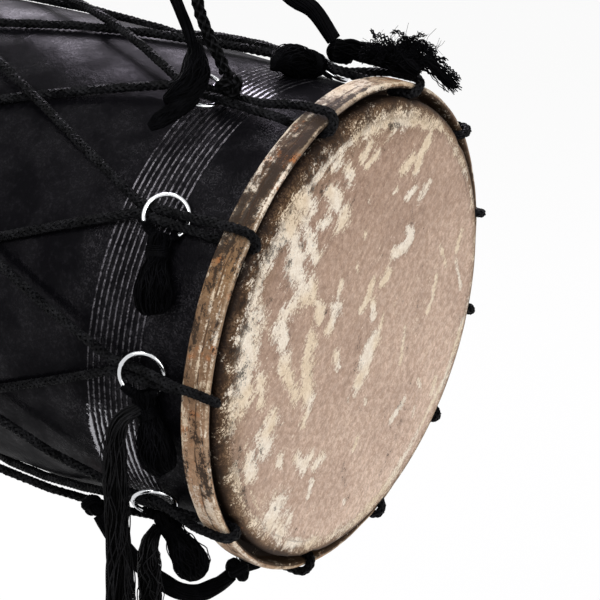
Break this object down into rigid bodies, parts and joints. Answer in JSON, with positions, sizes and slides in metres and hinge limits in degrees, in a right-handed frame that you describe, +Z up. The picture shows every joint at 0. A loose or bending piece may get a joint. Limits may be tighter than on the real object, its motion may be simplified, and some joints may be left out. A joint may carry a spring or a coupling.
{
  "type": "dhol",
  "caption": "Two-headed barrel drum with black lacquered shell, rope lacing, steel tuning rings, black yarn hanks and a shoulder strap.",
  "frame": {"origin": "the point where the strap is held, above the middle of the drum", "axes": "+X along the drum's axis towards the treble head, +Y across it, +Z up"},
  "size_m": [0.6552, 0.4473, 0.7238],
  "materials": {
    "lacquer": "black satin lacquer over wood, finely crackled, with turned grooves",
    "hide": "worn goatskin, mauve brown with cream patches, mottled and glossy on the hoop",
    "cane": "bent cane, covered by the lapped hide",
    "rope": "black braided cord",
    "yarn": "soft black yarn, unbraided",
    "chrome": "bright plated steel wire",
    "paste": "dried dark paste on the inside of the bass head"
  },
  "bodies": {
    "drum": {"shell": "lacquer", "treble_hide": "hide", "bass_hide": "hide", "treble_hoop": "cane", "bass_hoop": "cane", "bass_paste": "paste", "lacing_rope": "rope", "lacing_knot": "rope", "strap_rope": "rope", "strap_rope_treble_knot": "rope", "strap_rope_bass_knot": "rope", "top_frayed_tassel": "yarn", "bottom_swag_cord": "yarn", "swag_front_knot": "yarn", "swag_rear_knot": "yarn", "strap_cord": "yarn", "strap_cord_treble_knot": "yarn", "strap_cord_bass_knot": "yarn", "strap_yarn": "yarn", "strap_yarn_hank": "yarn", "strap_binding": "yarn"},
    "ring_01": {"tuning_ring_01": "chrome", "yarn_hank_01": "yarn"},
    "ring_02": {"tuning_ring_02": "chrome", "yarn_hank_02": "yarn"},
    "ring_03": {"tuning_ring_03": "chrome", "yarn_hank_03": "yarn"},
    "ring_04": {"tuning_ring_04": "chrome", "yarn_hank_04": "yarn"},
    "ring_05": {"tuning_ring_05": "chrome", "yarn_hank_05": "yarn"},
    "ring_06": {"tuning_ring_06": "chrome", "yarn_hank_06": "yarn"},
    "ring_07": {"tuning_ring_07": "chrome", "yarn_hank_07": "yarn"},
    "ring_08": {"tuning_ring_08": "chrome", "yarn_hank_08": "yarn", "long_tassel_b": "yarn"},
    "ring_09": {"tuning_ring_09": "chrome", "yarn_hank_09": "yarn", "long_tassel_a": "yarn"},
    "ring_10": {"tuning_ring_10": "chrome", "yarn_hank_10": "yarn"},
    "ring_11": {"tuning_ring_11": "chrome"}
  },
  "joints": [
    {"name": "ring_01_slide", "type": "slide", "parent": "drum", "child": "ring_01", "axis": [0.9979, -0.025, -0.0594], "range_m": [-0.008, 0.01]},
    {"name": "ring_02_slide", "type": "slide", "parent": "drum", "child": "ring_02", "axis": [0.9979, -0.0522, -0.0386], "range_m": [-0.008, 0.018]},
    {"name": "ring_03_slide", "type": "slide", "parent": "drum", "child": "ring_03", "axis": [0.998, -0.0625, -0.0097], "range_m": [-0.008, 0.022]},
    {"name": "ring_04_slide", "type": "slide", "parent": "drum", "child": "ring_04", "axis": [0.9979, -0.0615, 0.0197], "range_m": [-0.008, 0.016]},
    {"name": "ring_05_slide", "type": "slide", "parent": "drum", "child": "ring_05", "axis": [0.9981, -0.0429, 0.0452], "range_m": [-0.008, 0.024]},
    {"name": "ring_06_slide", "type": "slide", "parent": "drum", "child": "ring_06", "axis": [0.998, -0.0144, 0.0623], "range_m": [-0.008, 0.015]},
    {"name": "ring_07_slide", "type": "slide", "parent": "drum", "child": "ring_07", "axis": [0.998, 0.022, 0.0597], "range_m": [-0.008, 0.022]},
    {"name": "ring_08_slide", "type": "slide", "parent": "drum", "child": "ring_08", "axis": [0.9978, 0.0581, 0.0325], "range_m": [-0.008, 0.01]},
    {"name": "ring_09_slide", "type": "slide", "parent": "drum", "child": "ring_09", "axis": [0.9975, 0.0691, -0.0109], "range_m": [-0.008, 0.005]},
    {"name": "ring_10_slide", "type": "slide", "parent": "drum", "child": "ring_10", "axis": [0.9978, 0.0486, -0.0453], "range_m": [-0.008, 0.018]},
    {"name": "ring_11_slide", "type": "slide", "parent": "drum", "child": "ring_11", "axis": [0.9985, 0.0132, -0.0536], "range_m": [-0.004, 0.03]}
  ]
}
